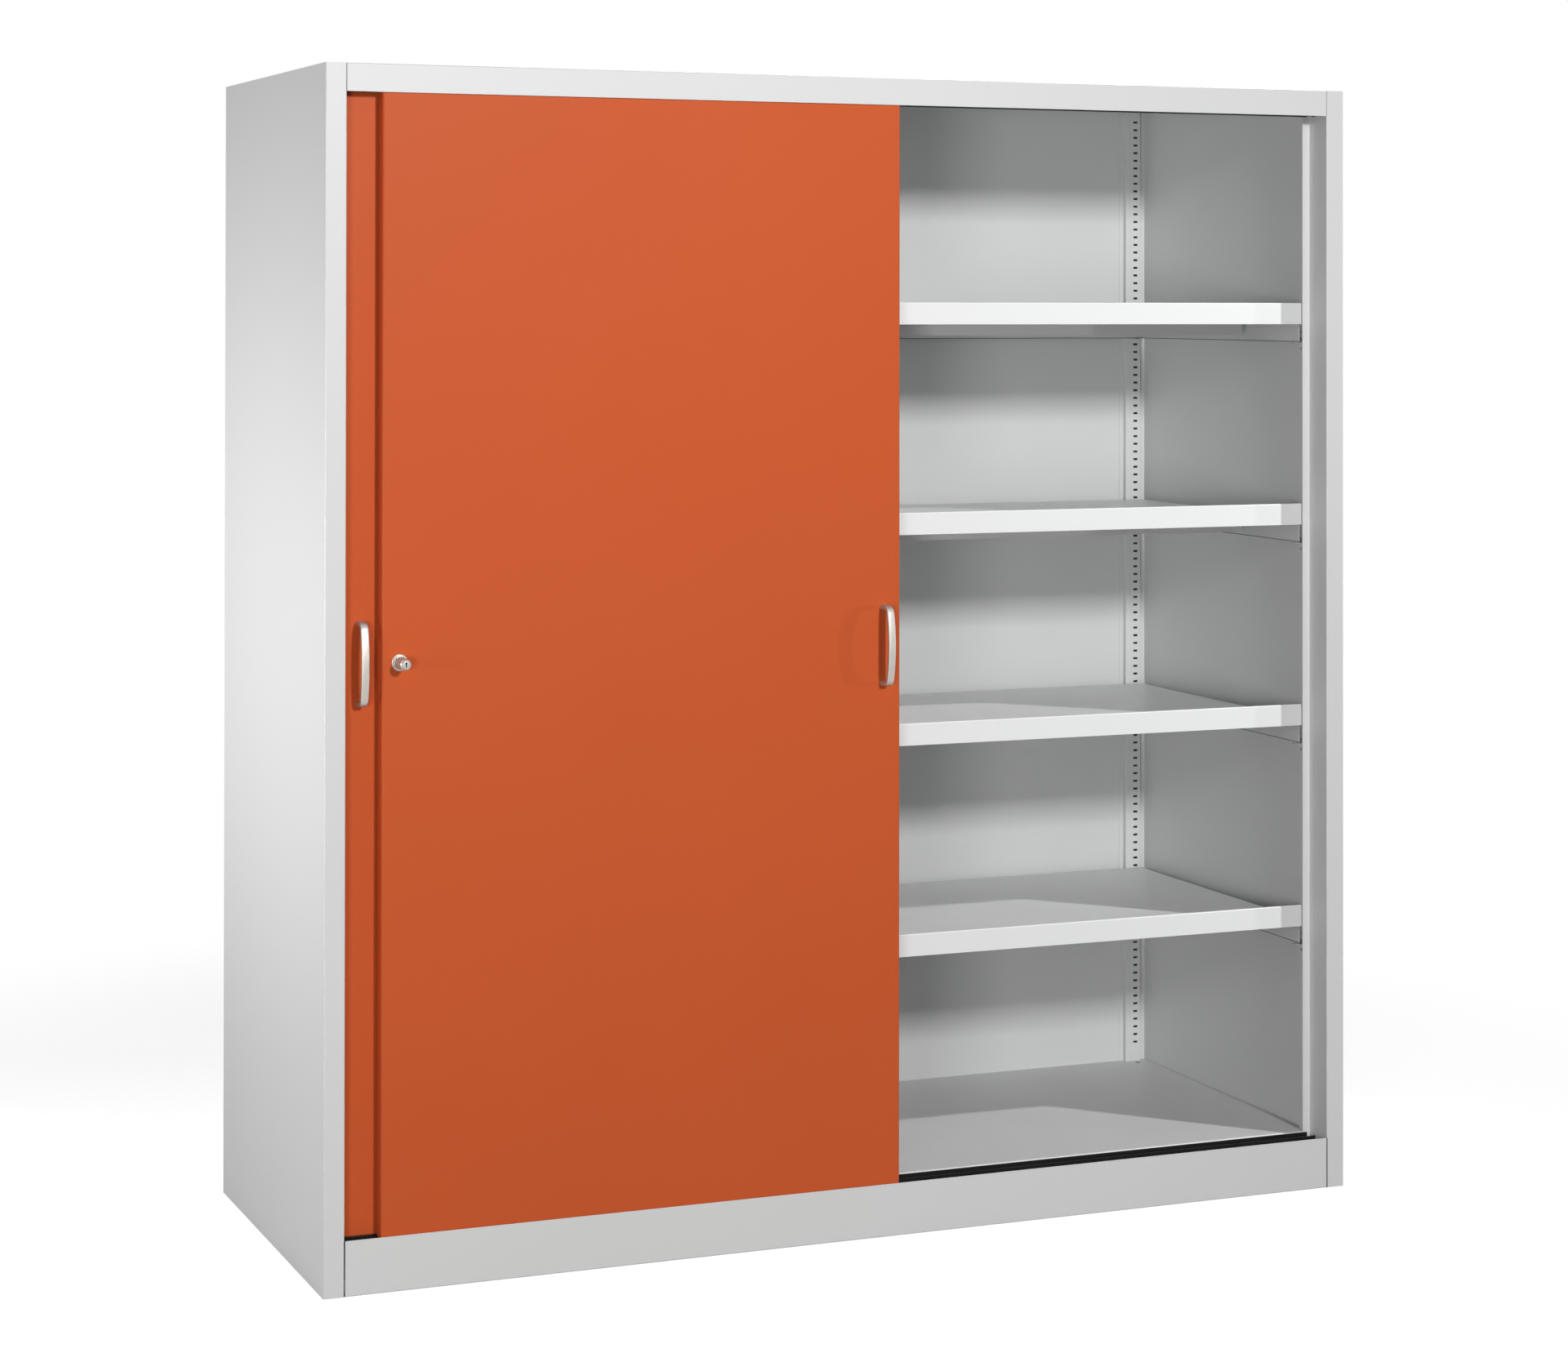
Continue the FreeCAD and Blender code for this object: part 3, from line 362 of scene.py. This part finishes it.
def drawnMetal(name):
    # plated metal with its grain along one direction
    metal = metals[name]
    material, tree, shader = newMaterial(name, metallic=metal["metallic"])
    values = {"Stretch": metal["stretch"], "Base Roughness": metal["roughness"], "Swing": metal["swing"]}
    grain = placeGroup(tree, drawnGrain, values)
    darker = [plating["darker"] * channel for channel in metal["tint"]]
    lines = fade(tree, grain["Line"], plating["lineStart"], plating["lineFull"])
    tree.links.new(mixColours(tree, lines, (*darker, 1), (*metal["colour"], 1)), shader.inputs["Base Color"])
    tree.links.new(grain["Roughness"], shader.inputs["Roughness"])
    bumpFrom(tree, shader, grain["Line"], plating["grainStrength"], plating["grainDepth"])
    return material


trackBlack = (0.006, 0.006, 0.007)
moulding = {
    "specular": 0.4, "swing": 0.12, "paleGain": 1.5, "paleLift": 0.004, "lineStart": 0.35, "lineFull": 0.75,
    "dustHeight": 0.001, "dustColour": (0.3, 0.29, 0.27, 1), "grainStrength": 0.12, "grainDepth": 0.0003,
}
plastics = {
    "trackPlastic": {"colour": trackBlack, "roughness": 0.42, "stretch": (4, 1500, 1500), "dust": 0.05},
    "shoePlastic": {"colour": trackBlack, "roughness": 0.5, "stretch": (300, 300, 300), "dust": 0.0},
    "rollerNylon": {"colour": (0.74, 0.72, 0.66), "roughness": 0.4, "stretch": (220, 220, 220), "dust": 0.0},
    "bufferRubber": {"colour": (0.018, 0.018, 0.018), "roughness": 0.75, "stretch": (700, 700, 700),
                     "dust": 0.02},
    # keyholeShade is painted shade: near-black for the deep inside of the key slot
    "keyholeShade": {"colour": (0.004, 0.004, 0.004), "roughness": 0.6, "stretch": (300, 300, 300),
                     "dust": 0.0},
}


def mouldedPlastic(name):
    # extruded or moulded plastic with faint flow lines and dust on level faces
    plastic = plastics[name]
    material, tree, shader = newMaterial(name, specular=moulding["specular"])
    values = {"Stretch": plastic["stretch"], "Base Roughness": plastic["roughness"],
              "Swing": moulding["swing"]}
    grain = placeGroup(tree, drawnGrain, values)
    pale = [min(1.0, moulding["paleGain"] * channel + moulding["paleLift"]) for channel in plastic["colour"]]
    lines = fade(tree, grain["Line"], moulding["lineStart"], moulding["lineFull"])
    base = mixColours(tree, lines, (*plastic["colour"], 1), (*pale, 1))
    values = {"Amount": plastic["dust"], "Floor Height": moulding["dustHeight"]}
    film = placeGroup(tree, settledDust, values)["Mask"]
    tree.links.new(mixColours(tree, film, base, moulding["dustColour"]), shader.inputs["Base Color"])
    tree.links.new(grain["Roughness"], shader.inputs["Roughness"])
    bumpFrom(tree, shader, grain["Line"], moulding["grainStrength"], moulding["grainDepth"])
    return material


# places that the finishes follow
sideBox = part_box("right_side_panel")
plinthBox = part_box("plinth_front")
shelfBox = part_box("right_shelf_1")
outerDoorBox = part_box("outer_door_panel")
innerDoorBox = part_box("inner_door_panel")
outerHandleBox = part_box("outer_handle")
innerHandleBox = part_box("inner_handle")
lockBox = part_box("lock_housing")
outerGrip = (outerHandleBox[0] + outerHandleBox[1]) / 2
innerGrip = (innerHandleBox[0] + innerHandleBox[1]) / 2
lockCentre = (lockBox[0] + lockBox[1]) / 2
marks = {
    "cornerWear": 0.0035, "stileWear": 0.0025, "fasciaFoot": 1.905, "slitWidth": 0.0013, "slitShadeShare": 1.0,
    "skirtShadeShare": 0.9, "postFoot": 0.0101, "postFace": 0.0006, "backSheet": 0.0005, "hollowShadeShare": 0.95,
    "gripReach": 0.13, "lockReach": 0.06,
}


def hollowOf(post):
    # the closed space between a post's feet, from just behind its face to just inside the back panel
    low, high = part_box(post)
    return {"Low X": low[0] + marks["postFoot"], "High X": high[0] - marks["postFoot"],
            "Low Y": low[1] + marks["postFace"], "High Y": high[1] + marks["backSheet"]}


slit = {"Seam X": plinthBox[1][0], "Low Top": plinthBox[1][2], "High Foot": marks["fasciaFoot"],
        "Width": marks["slitWidth"]}
# the grey paint carries painted shade in the slits beside the stiles
greyPaint = paintedSheet("greyPaint", paints["grey"],
                         folds=((sideBox[1][0], sideBox[0][1], marks["cornerWear"]),
                                (plinthBox[1][0], sideBox[0][1], marks["stileWear"])),
                         paintedShades=((buttSeamShade, slit, marks["slitShadeShare"]),))
shelfPaint = paintedSheet("shelfPaint", paints["shelf"],
                          paintedShades=((skirtGapShade, {"Foot": shelfBox[0][2]}, marks["skirtShadeShare"]),))
shadedFloorPaint = paintedSheet("shadedFloorPaint", paints["floor"])
# the inside paint carries painted shade in the hollow rear posts
shadedInsidePaint = paintedSheet("shadedInsidePaint", paints["inside"],
                           paintedShades=[(hollowShade, hollowOf(post), marks["hollowShadeShare"])
                                  for post in ("right_outer_rear_post", "right_inner_rear_post")])
outerPaint = paintedSheet("outerDoorPaint", paints["door"],
                          smudges=((outerGrip, marks["gripReach"]), (lockCentre, marks["lockReach"])))
innerPaint = paintedSheet("innerDoorPaint", paints["door"], smudges=((innerGrip, marks["gripReach"]),))
satinNickel = drawnMetal("satinNickel")
turnedNickel = drawnMetal("turnedNickel")
brightZinc = drawnMetal("brightZinc")
trackPlastic = mouldedPlastic("trackPlastic")
shoePlastic = mouldedPlastic("shoePlastic")
rollerNylon = mouldedPlastic("rollerNylon")
bufferRubber = mouldedPlastic("bufferRubber")
keyholeShade = mouldedPlastic("keyholeShade")
print("finishes made")


def finishFor(node):
    if "door_panel" in node or "door_stiffeners" in node:
        return outerPaint if node.startswith("outer") else innerPaint
    if node in ("bottom_track", "top_guide"):
        return trackPlastic
    if "guide_shoes" in node:
        return shoePlastic
    if "roller_left" in node or "roller_right" in node:
        return rollerNylon
    if node == "jamb_buffers":
        return bufferRubber
    if "screws" in node or "axles" in node or "brackets" in node or "clips" in node:
        return brightZinc
    if node in ("levelling_feet", "lock_catch", "lock_nut", "lock_pin"):
        return brightZinc
    if node == "bottom_panel":
        return shadedFloorPaint
    if "shelf" in node:
        return shelfPaint
    if "liner" in node or "back_panel" in node or "post" in node or "partition" in node:
        return shadedInsidePaint
    return greyPaint


for node, obj in nodes.items():
    obj.data.materials.clear()
    obj.data.materials.append(finishFor(node))


# the pieces that stand for plainer nodes
def finishPiece(name, body, node, materials, smoothAngle=32):
    # doubles merged, normals outwards, place in the mesh, then onto its body
    piece = bpy.context.object
    bpy.ops.mesh.select_all(action="SELECT")
    bpy.ops.mesh.remove_doubles(threshold=0.000005)
    bpy.ops.mesh.normals_make_consistent(inside=False)
    bpy.ops.object.mode_set(mode="OBJECT")
    bpy.ops.object.transform_apply(location=True, rotation=True, scale=True)
    bpy.ops.object.shade_smooth_by_angle(angle=math.radians(smoothAngle))
    piece.name = name
    piece.data.name = name
    for material in materials:
        piece.data.materials.append(material)
    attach(piece, body)
    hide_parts(node)
    return piece


bowHandle = {
    "width": 0.013, "depth": 0.008, "edgeRound": 0.0024, "edgeSteps": 5, "spacing": 0.128,
    "projection": 0.0309, "bulge": 0.0055, "corner": 0.012, "cornerSteps": 10, "bowSteps": 28,
    "smoothAngle": 40,
}


def makeHandle(name, body, cadNode, grip, doorFront):
    # one foot's outline, drawn out of the door, round a corner, along the bow and back into the door
    x, z = grip[0], grip[2]
    half = bowHandle["spacing"] / 2
    corner = bowHandle["corner"]
    slope = math.atan(2 * bowHandle["bulge"] / (half - corner))
    turn = math.pi / 2 - slope
    straight = bowHandle["projection"] - bowHandle["bulge"] - corner
    bpy.ops.object.select_all(action="DESELECT")
    bpy.ops.mesh.primitive_plane_add(size=1, location=(x, doorFront, z - half), rotation=(math.pi / 2, 0, 0))
    bpy.context.object.scale = (bowHandle["width"], bowHandle["depth"], 1)
    bpy.ops.object.transform_apply(location=True, rotation=True, scale=True)
    bpy.ops.object.mode_set(mode="EDIT")
    bpy.ops.mesh.select_all(action="SELECT")
    bpy.ops.mesh.bevel(offset=bowHandle["edgeRound"], segments=bowHandle["edgeSteps"], affect="VERTICES")
    bpy.ops.mesh.select_all(action="SELECT")
    bpy.ops.mesh.extrude_region_move(TRANSFORM_OT_translate={"value": (0, -straight, 0)})
    bendY = doorFront - straight
    bpy.ops.mesh.spin(steps=bowHandle["cornerSteps"], angle=turn, axis=(1, 0, 0),
                      center=(x, bendY, z - half + corner))
    endZ = half - corner * (1 - math.cos(turn))
    endY = bendY - corner * math.sin(turn)
    bowCentreY = endY + endZ / math.tan(slope)
    bpy.ops.mesh.spin(steps=bowHandle["bowSteps"], angle=2 * slope, axis=(1, 0, 0),
                      center=(x, bowCentreY, z))
    bpy.ops.mesh.spin(steps=bowHandle["cornerSteps"], angle=turn, axis=(1, 0, 0),
                      center=(x, bendY, z + half - corner))
    bpy.ops.mesh.extrude_region_move(TRANSFORM_OT_translate={"value": (0, straight, 0)})
    finishPiece(name, body, cadNode, [satinNickel], bowHandle["smoothAngle"])


makeHandle("outerBowHandle", "outer_door", "outer_handle", outerGrip, outerDoorBox[0][1])
makeHandle("innerBowHandle", "inner_door", "inner_handle", innerGrip, innerDoorBox[0][1])
print("bow handles made")


def turnedRings(profile, sides, closed=True):
    # a circle about the lock's axis, drawn through each (radius, depth) of the profile as on a lathe
    x, z = lockCentre[0], lockCentre[2]
    radius, depth = profile[0]
    bpy.ops.object.select_all(action="DESELECT")
    bpy.ops.mesh.primitive_circle_add(vertices=sides, radius=radius, fill_type="NOTHING",
                                      location=(x, depth, z), rotation=(math.pi / 2, 0, 0))
    bpy.ops.object.transform_apply(location=True, rotation=True, scale=True)
    bpy.ops.object.mode_set(mode="EDIT")
    bpy.ops.mesh.select_all(action="SELECT")
    if not closed:
        bpy.ops.mesh.edge_face_add()
        bpy.ops.mesh.select_all(action="SELECT")
    steps = profile[1:] + ([profile[0]] if closed else [])
    for nextRadius, nextDepth in steps:
        bpy.ops.mesh.extrude_region_move(TRANSFORM_OT_translate={"value": (0, nextDepth - depth, 0)})
        grow = nextRadius / radius
        bpy.ops.transform.resize(value=(grow, 1, grow), center_override=(x, nextDepth, z))
        radius, depth = nextRadius, nextDepth
    return bpy.context.object


# a rim is its face's inset, its corner's inset and depth, and the depth where its side starts
pushLock = {
    "sides": 72, "rosette": 0.0135, "rosetteHeight": 0.0025, "rosetteRim": (0.0012, 0.0003, 0.0005, 0.0014),
    "collar": 0.0118, "collarHeight": 0.004, "collarRim": (0.0012, 0.0003, 0.0004, 0.0013),
    "mouthWide": 0.0005, "mouthDeep": 0.0006, "shank": 0.011, "play": 0.00012,
    "barrel": 0.0095, "barrelReach": 0.034, "noseRim": (0.0022, 0.0005, 0.0018, 0.0028), "boreStart": 0.006,
    "grooveStart": 0.012, "grooveEnd": 0.0128, "grooveFlank": 0.0002, "grooveDepth": 0.00025,
    "coreMouthWide": 0.0003, "coreMouthDeep": 0.0002, "corePlay": 0.0001,
    "coreSides": 48, "core": 0.0063, "coreShoulder": 0.0004, "coreEdgeInset": 0.0005, "coreEdgeRise": 0.0004,
    "coreFaceInset": 0.002, "coreFaceRise": 0.0006, "corePole": 0.0008,
}
keySlot = {
    "width": 0.0018, "height": 0.0085, "depth": 0.008, "overrun": 0.004, "cuts": 3, "wardHeight": 0.0004,
    "wardGrow": 1.9, "margin": 0.0002, "shadeFrom": 0.001,
}
lockFace = outerDoorBox[0][1]
lockNose = lockFace - pushLock["barrelReach"]


def easedRim(radius, face, rim):
    faceInset, cornerInset, cornerDepth, sideDepth = rim
    corner = (radius - cornerInset, face + cornerDepth)
    return [(radius - faceInset, face), corner, (radius, face + sideDepth)]


def makeRosette():
    back = lockBox[1][1]
    bore = pushLock["barrel"] + pushLock["play"]
    step = lockFace - pushLock["rosetteHeight"]
    collarFace = step - pushLock["collarHeight"]
    profile = [
        (bore, back), (bore, collarFace + pushLock["mouthDeep"]), (bore + pushLock["mouthWide"], collarFace),
        *easedRim(pushLock["collar"], collarFace, pushLock["collarRim"]), (pushLock["collar"], step),
        *easedRim(pushLock["rosette"], step, pushLock["rosetteRim"]), (pushLock["rosette"], lockFace),
        (pushLock["shank"], lockFace), (pushLock["shank"], back),
    ]
    turnedRings(profile, pushLock["sides"])
    finishPiece("lockRosette", "outer_door", "lock_housing", [turnedNickel])


def makeBarrel():
    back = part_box("lock_barrel")[1][1]
    bore = pushLock["core"] + pushLock["corePlay"]
    radius = pushLock["barrel"]
    waist = radius - pushLock["grooveDepth"]
    flank = pushLock["grooveFlank"]
    grooveStart, grooveEnd = lockNose + pushLock["grooveStart"], lockNose + pushLock["grooveEnd"]
    profile = [
        (bore, back - pushLock["boreStart"]), (bore, lockNose + pushLock["coreMouthDeep"]),
        (bore + pushLock["coreMouthWide"], lockNose), *easedRim(radius, lockNose, pushLock["noseRim"]),
        (radius, grooveStart), (waist, grooveStart + flank), (waist, grooveEnd - flank), (radius, grooveEnd),
        (radius, back), (bore, back),
    ]
    turnedRings(profile, pushLock["sides"])
    finishPiece("lockPushBarrel", "lock_push", "lock_barrel", [turnedNickel])


def cutKeySlot(core):
    # an upright slot with a wider ward above its middle
    x, z = lockCentre[0], lockCentre[2]
    middle = lockNose + (keySlot["depth"] - keySlot["overrun"]) / 2
    wardZ = z + keySlot["height"] / 4
    bpy.ops.object.select_all(action="DESELECT")
    bpy.ops.mesh.primitive_cube_add(size=1, location=(x, middle, z))
    cutter = bpy.context.object
    cutter.scale = (keySlot["width"], keySlot["depth"] + keySlot["overrun"], keySlot["height"])
    bpy.ops.object.transform_apply(location=True, rotation=True, scale=True)
    bpy.ops.object.mode_set(mode="EDIT")
    bpy.ops.mesh.select_all(action="SELECT")
    bpy.ops.mesh.subdivide(number_cuts=keySlot["cuts"])
    mesh = bmesh.from_edit_mesh(cutter.data)
    for vertex in mesh.verts:
        vertex.select_set(abs(vertex.co.z - wardZ) < keySlot["wardHeight"])
    mesh.select_flush(True)
    bmesh.update_edit_mesh(cutter.data)
    bpy.ops.transform.resize(value=(keySlot["wardGrow"], 1, 1), center_override=(x, lockNose, z))
    bpy.ops.object.mode_set(mode="OBJECT")
    bpy.ops.object.select_all(action="DESELECT")
    core.select_set(True)
    bpy.context.view_layer.objects.active = core
    cut = core.modifiers.new("keySlot", "BOOLEAN")
    cut.object = cutter
    cut.operation = "DIFFERENCE"
    cut.solver = "EXACT"
    bpy.ops.object.modifier_apply(modifier=cut.name)
    bpy.data.objects.remove(cutter)


def makeKeyCore():
    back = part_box("lock_core")[1][1]
    radius = pushLock["core"]
    front = lockNose - pushLock["coreFaceRise"]
    profile = [
        (radius, back), (radius, lockNose + pushLock["coreShoulder"]),
        (radius - pushLock["coreEdgeInset"], lockNose - pushLock["coreEdgeRise"]),
        (radius - pushLock["coreFaceInset"], front), (pushLock["corePole"], front),
    ]
    core = turnedRings(profile, pushLock["coreSides"], closed=False)
    bpy.ops.object.mode_set(mode="OBJECT")
    cutKeySlot(core)
    bpy.ops.object.mode_set(mode="EDIT")
    piece = finishPiece("lockKeyCore", "lock_key", "lock_core", [turnedNickel, keyholeShade])
    # painted shade: faces deep in the key slot get the near-black keyhole finish
    tall = keySlot["height"] / 2 + keySlot["margin"]
    for polygon in piece.data.polygons:
        across, up = abs(polygon.center.x - lockCentre[0]), abs(polygon.center.z - lockCentre[2])
        if across < keySlot["width"] and up < tall and polygon.center.y > lockNose + keySlot["shadeFrom"]:
            polygon.material_index = 1


makeRosette()
makeBarrel()
makeKeyCore()
print("push lock made")


# soft light, a pale floor and the photograph's camera
lamps = {
    "keyLight": {"place": (3.3, -2.55, 3.33), "aim": (0.9, 0.0, -1.5), "size": (0.1, 0.1), "power": 133},
    "frontLight": {"place": (0.45, -6.02, 3.32), "aim": (-0.2, -0.3, 1.9), "size": (0.65, 0.65),
                   "power": 103},
    "leftLight": {"place": (-4.4, -6.0, 1.1), "aim": (0, 0, 1.0), "size": (1.4, 1.4), "power": 134},
    "lowLight": {"place": (7.5, -3.53, 1.4), "aim": (0.2, 0, 1.0), "size": (0.18, 0.18), "power": 92},
    "rearLight": {"place": (3.4, 4.0, 4.4), "aim": (0, 0, 1.0), "size": (2.4, 2.4), "power": 440},
    "sideLight": {"place": (-2.1, 0.0, 1.05), "aim": (-0.95, 0, 1.1), "size": (1.6, 0.3), "power": 15},
}
studio = {
    "frontSpread": 120, "insideWords": ("shelf", "bottom_panel", "liner", "back_panel", "post", "partition"),
    "world": 0.09, "white": (1, 1, 1, 1), "whiteStrength": 1.0, "floorSize": 60, "floorDrop": 0.0005,
    "floorWhite": 0.92, "floorGlow": 0.64, "floorBounce": 0.15, "fadeStart": 1.2, "fadeEnd": 2.5,
}


def areaLight(name):
    settings = lamps[name]
    light = bpy.data.lights.new(name, "AREA")
    light.shape = "RECTANGLE"
    light.size, light.size_y = settings["size"]
    light.energy = settings["power"]
    lamp = bpy.data.objects.new(name, light)
    bpy.context.scene.collection.objects.link(lamp)
    lamp.location = settings["place"]
    along = Vector(settings["aim"]) - Vector(settings["place"])
    lamp.rotation_euler = along.to_track_quat("-Z", "Y").to_euler()
    return lamp


def keepTo(lamp, words):
    # a lamp flagged off everything but the nodes that these words name
    reach = bpy.data.collections.new(lamp.name + "Reach")
    for node, obj in nodes.items():
        if any(word in node for word in words):
            reach.objects.link(obj)
    lamp.light_linking.receiver_collection = reach


def makeLamps():
    keepTo(areaLight("keyLight"), studio["insideWords"])
    front = areaLight("frontLight")
    front.data.spread = math.radians(studio["frontSpread"])
    areaLight("leftLight")
    areaLight("lowLight")
    keepTo(areaLight("rearLight"), nodes)
    areaLight("sideLight")


def seenDirectly(tree):
    # 1 where the camera, a mirror image or clear material looks at the surface
    path = addNode(tree, "ShaderNodeLightPath").outputs
    straight = mathNode(tree, "MAXIMUM", path["Is Camera Ray"], path["Is Transmission Ray"])
    return mathNode(tree, "MAXIMUM", straight, path["Is Glossy Ray"])


def plainLight(tree, kind, strength):
    return addNode(tree, kind, {"Color": studio["white"], "Strength": strength}).outputs[0]


def makeWorld():
    world = bpy.data.worlds.new("studioRoom")
    bpy.context.scene.world = world
    world.use_nodes = True
    tree = world.node_tree
    tree.nodes.clear()
    room = plainLight(tree, "ShaderNodeBackground", studio["world"])
    white = plainLight(tree, "ShaderNodeBackground", studio["whiteStrength"])
    mix = addNode(tree, "ShaderNodeMixShader", {0: seenDirectly(tree), 1: room, 2: white})
    addNode(tree, "ShaderNodeOutputWorld", {0: mix.outputs[0]})


def makeFloor():
    bpy.ops.object.select_all(action="DESELECT")
    bpy.ops.mesh.primitive_plane_add(size=studio["floorSize"], location=(0, 0, -studio["floorDrop"]))
    floor = bpy.context.object
    floor.name = "paleFloor"
    material = bpy.data.materials.new("paleFloor")
    material.use_nodes = True
    tree = material.node_tree
    tree.nodes.clear()
    seen = seenDirectly(tree)
    bounce, bright = ([studio[tone]] * 3 + [1] for tone in ("floorBounce", "floorWhite"))
    paper = addNode(tree, "ShaderNodeBsdfDiffuse", {"Color": mixColours(tree, seen, bounce, bright)})
    glow = plainLight(tree, "ShaderNodeEmission", product(tree, seen, studio["floorGlow"]))
    lit = addNode(tree, "ShaderNodeAddShader", {0: paper.outputs[0], 1: glow})
    white = plainLight(tree, "ShaderNodeEmission", studio["whiteStrength"])
    away = addNode(tree, "ShaderNodeVectorMath", {0: objectPlace(tree)}, operation="LENGTH").outputs["Value"]
    plain = product(tree, fade(tree, away, studio["fadeStart"], studio["fadeEnd"]), seen)
    mix = addNode(tree, "ShaderNodeMixShader", {0: plain, 1: lit.outputs[0], 2: white})
    addNode(tree, "ShaderNodeOutputMaterial", {"Surface": mix.outputs[0]})
    floor.data.materials.append(material)


camera = {
    "place": (-2.343, -4.8254, 1.5739), "turn": 19.067, "tilt": 0.431, "roll": 0.111, "sensor": 36,
    "focalPixels": 3672.1, "imageWide": 1920, "imageTall": 1668, "middle": (524, 340),
}


def makeCamera():
    # the lens shift puts the principal point where the photograph has it
    lens = bpy.data.cameras.new("photoCamera")
    wide = camera["imageWide"]
    lens.sensor_width = camera["sensor"]
    lens.lens = camera["focalPixels"] / wide * camera["sensor"]
    lens.shift_x = (wide / 2 - camera["middle"][0]) / wide
    lens.shift_y = -(camera["imageTall"] / 2 - camera["middle"][1]) / wide
    photoCamera = bpy.data.objects.new("photoCamera", lens)
    bpy.context.scene.collection.objects.link(photoCamera)
    turn = Matrix.Rotation(math.radians(-camera["turn"]), 4, "Z")
    tilt = Matrix.Rotation(math.radians(90 + camera["tilt"]), 4, "X")
    roll = Matrix.Rotation(math.radians(camera["roll"]), 4, "Z")
    photoCamera.matrix_world = Matrix.Translation(camera["place"]) @ turn @ tilt @ roll
    bpy.context.scene.camera = photoCamera


makeLamps()
makeWorld()
makeFloor()
makeCamera()
bpy.context.scene.view_settings.view_transform = "Standard"
print("studio ready")
